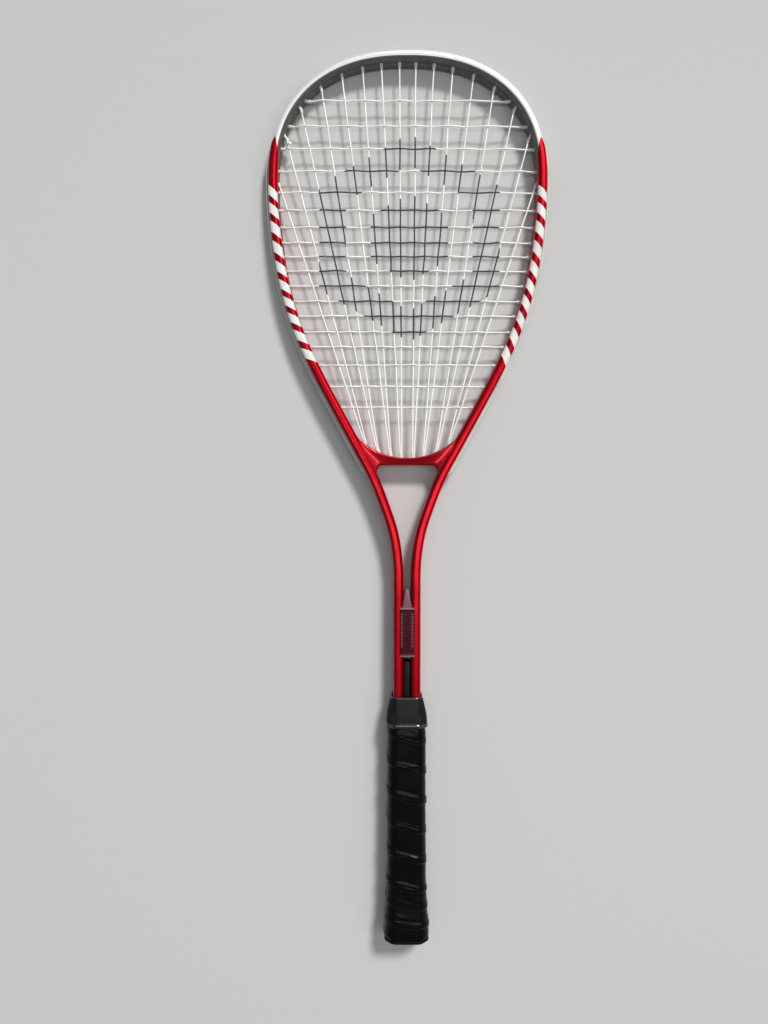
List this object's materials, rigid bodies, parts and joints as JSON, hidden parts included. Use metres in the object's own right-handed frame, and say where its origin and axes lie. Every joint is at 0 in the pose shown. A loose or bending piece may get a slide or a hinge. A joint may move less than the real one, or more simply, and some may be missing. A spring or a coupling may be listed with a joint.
{
  "type": "squash racket",
  "caption": "Open-throat squash racket: bent aluminium hoop and twin shafts, moulded throat bridge, strung fan bed, wrapped handle with a sliding rubber collar.",
  "frame": {"origin": "centre of the butt cap's flat end face, at mid depth of the frame", "axes": "+Y from the butt to the crown, +X to the right seen from the front, +Z out of the front face"},
  "size_m": [0.2194, 0.685, 0.0314],
  "materials": {
    "red_paint": "gloss metallic lacquer, silver at the crown, striped sides",
    "red_plastic": "glossy moulded",
    "strip_plastic": "satin moulded nylon",
    "main_nylon": "satin coated multifilament, black stencil",
    "cross_nylon": "satin coated multifilament, black stencil",
    "smoke_plastic": "translucent smoked, glossy",
    "black_plastic": "satin moulded",
    "core_plastic": "matte foam-filled moulding",
    "zinc_steel": "bright zinc",
    "grip_polyurethane": "tacky smooth polyurethane wrap",
    "finishing_tape_vinyl": "satin vinyl",
    "black_rubber": "satin rubber"
  },
  "bodies": {
    "racket": {"frame": "red_paint", "bridge": "red_plastic", "crown_grommet_strip": "strip_plastic", "left_grommet_strip": "strip_plastic", "right_grommet_strip": "strip_plastic", "throat_grommet_strip": "strip_plastic", "main_string": "main_nylon", "cross_string": "cross_nylon", "shaft_clip": "smoke_plastic", "neck_plug": "black_plastic", "butt_cap": "black_plastic", "handle_core_front": "core_plastic", "handle_core_back": "core_plastic", "handle_pin_lower": "zinc_steel", "handle_pin_upper": "zinc_steel", "left_bridge_pin": "zinc_steel", "right_bridge_pin": "zinc_steel", "butt_staple_front": "zinc_steel", "butt_staple_back": "zinc_steel", "grip_wrap": "grip_polyurethane", "finishing_tape": "finishing_tape_vinyl"},
    "collar": {"collar": "black_rubber"}
  },
  "joints": [
    {"name": "collar_slide", "type": "slide", "parent": "racket", "child": "collar", "axis": [0, 1, 0], "range_m": [0, 0.028]}
  ]
}
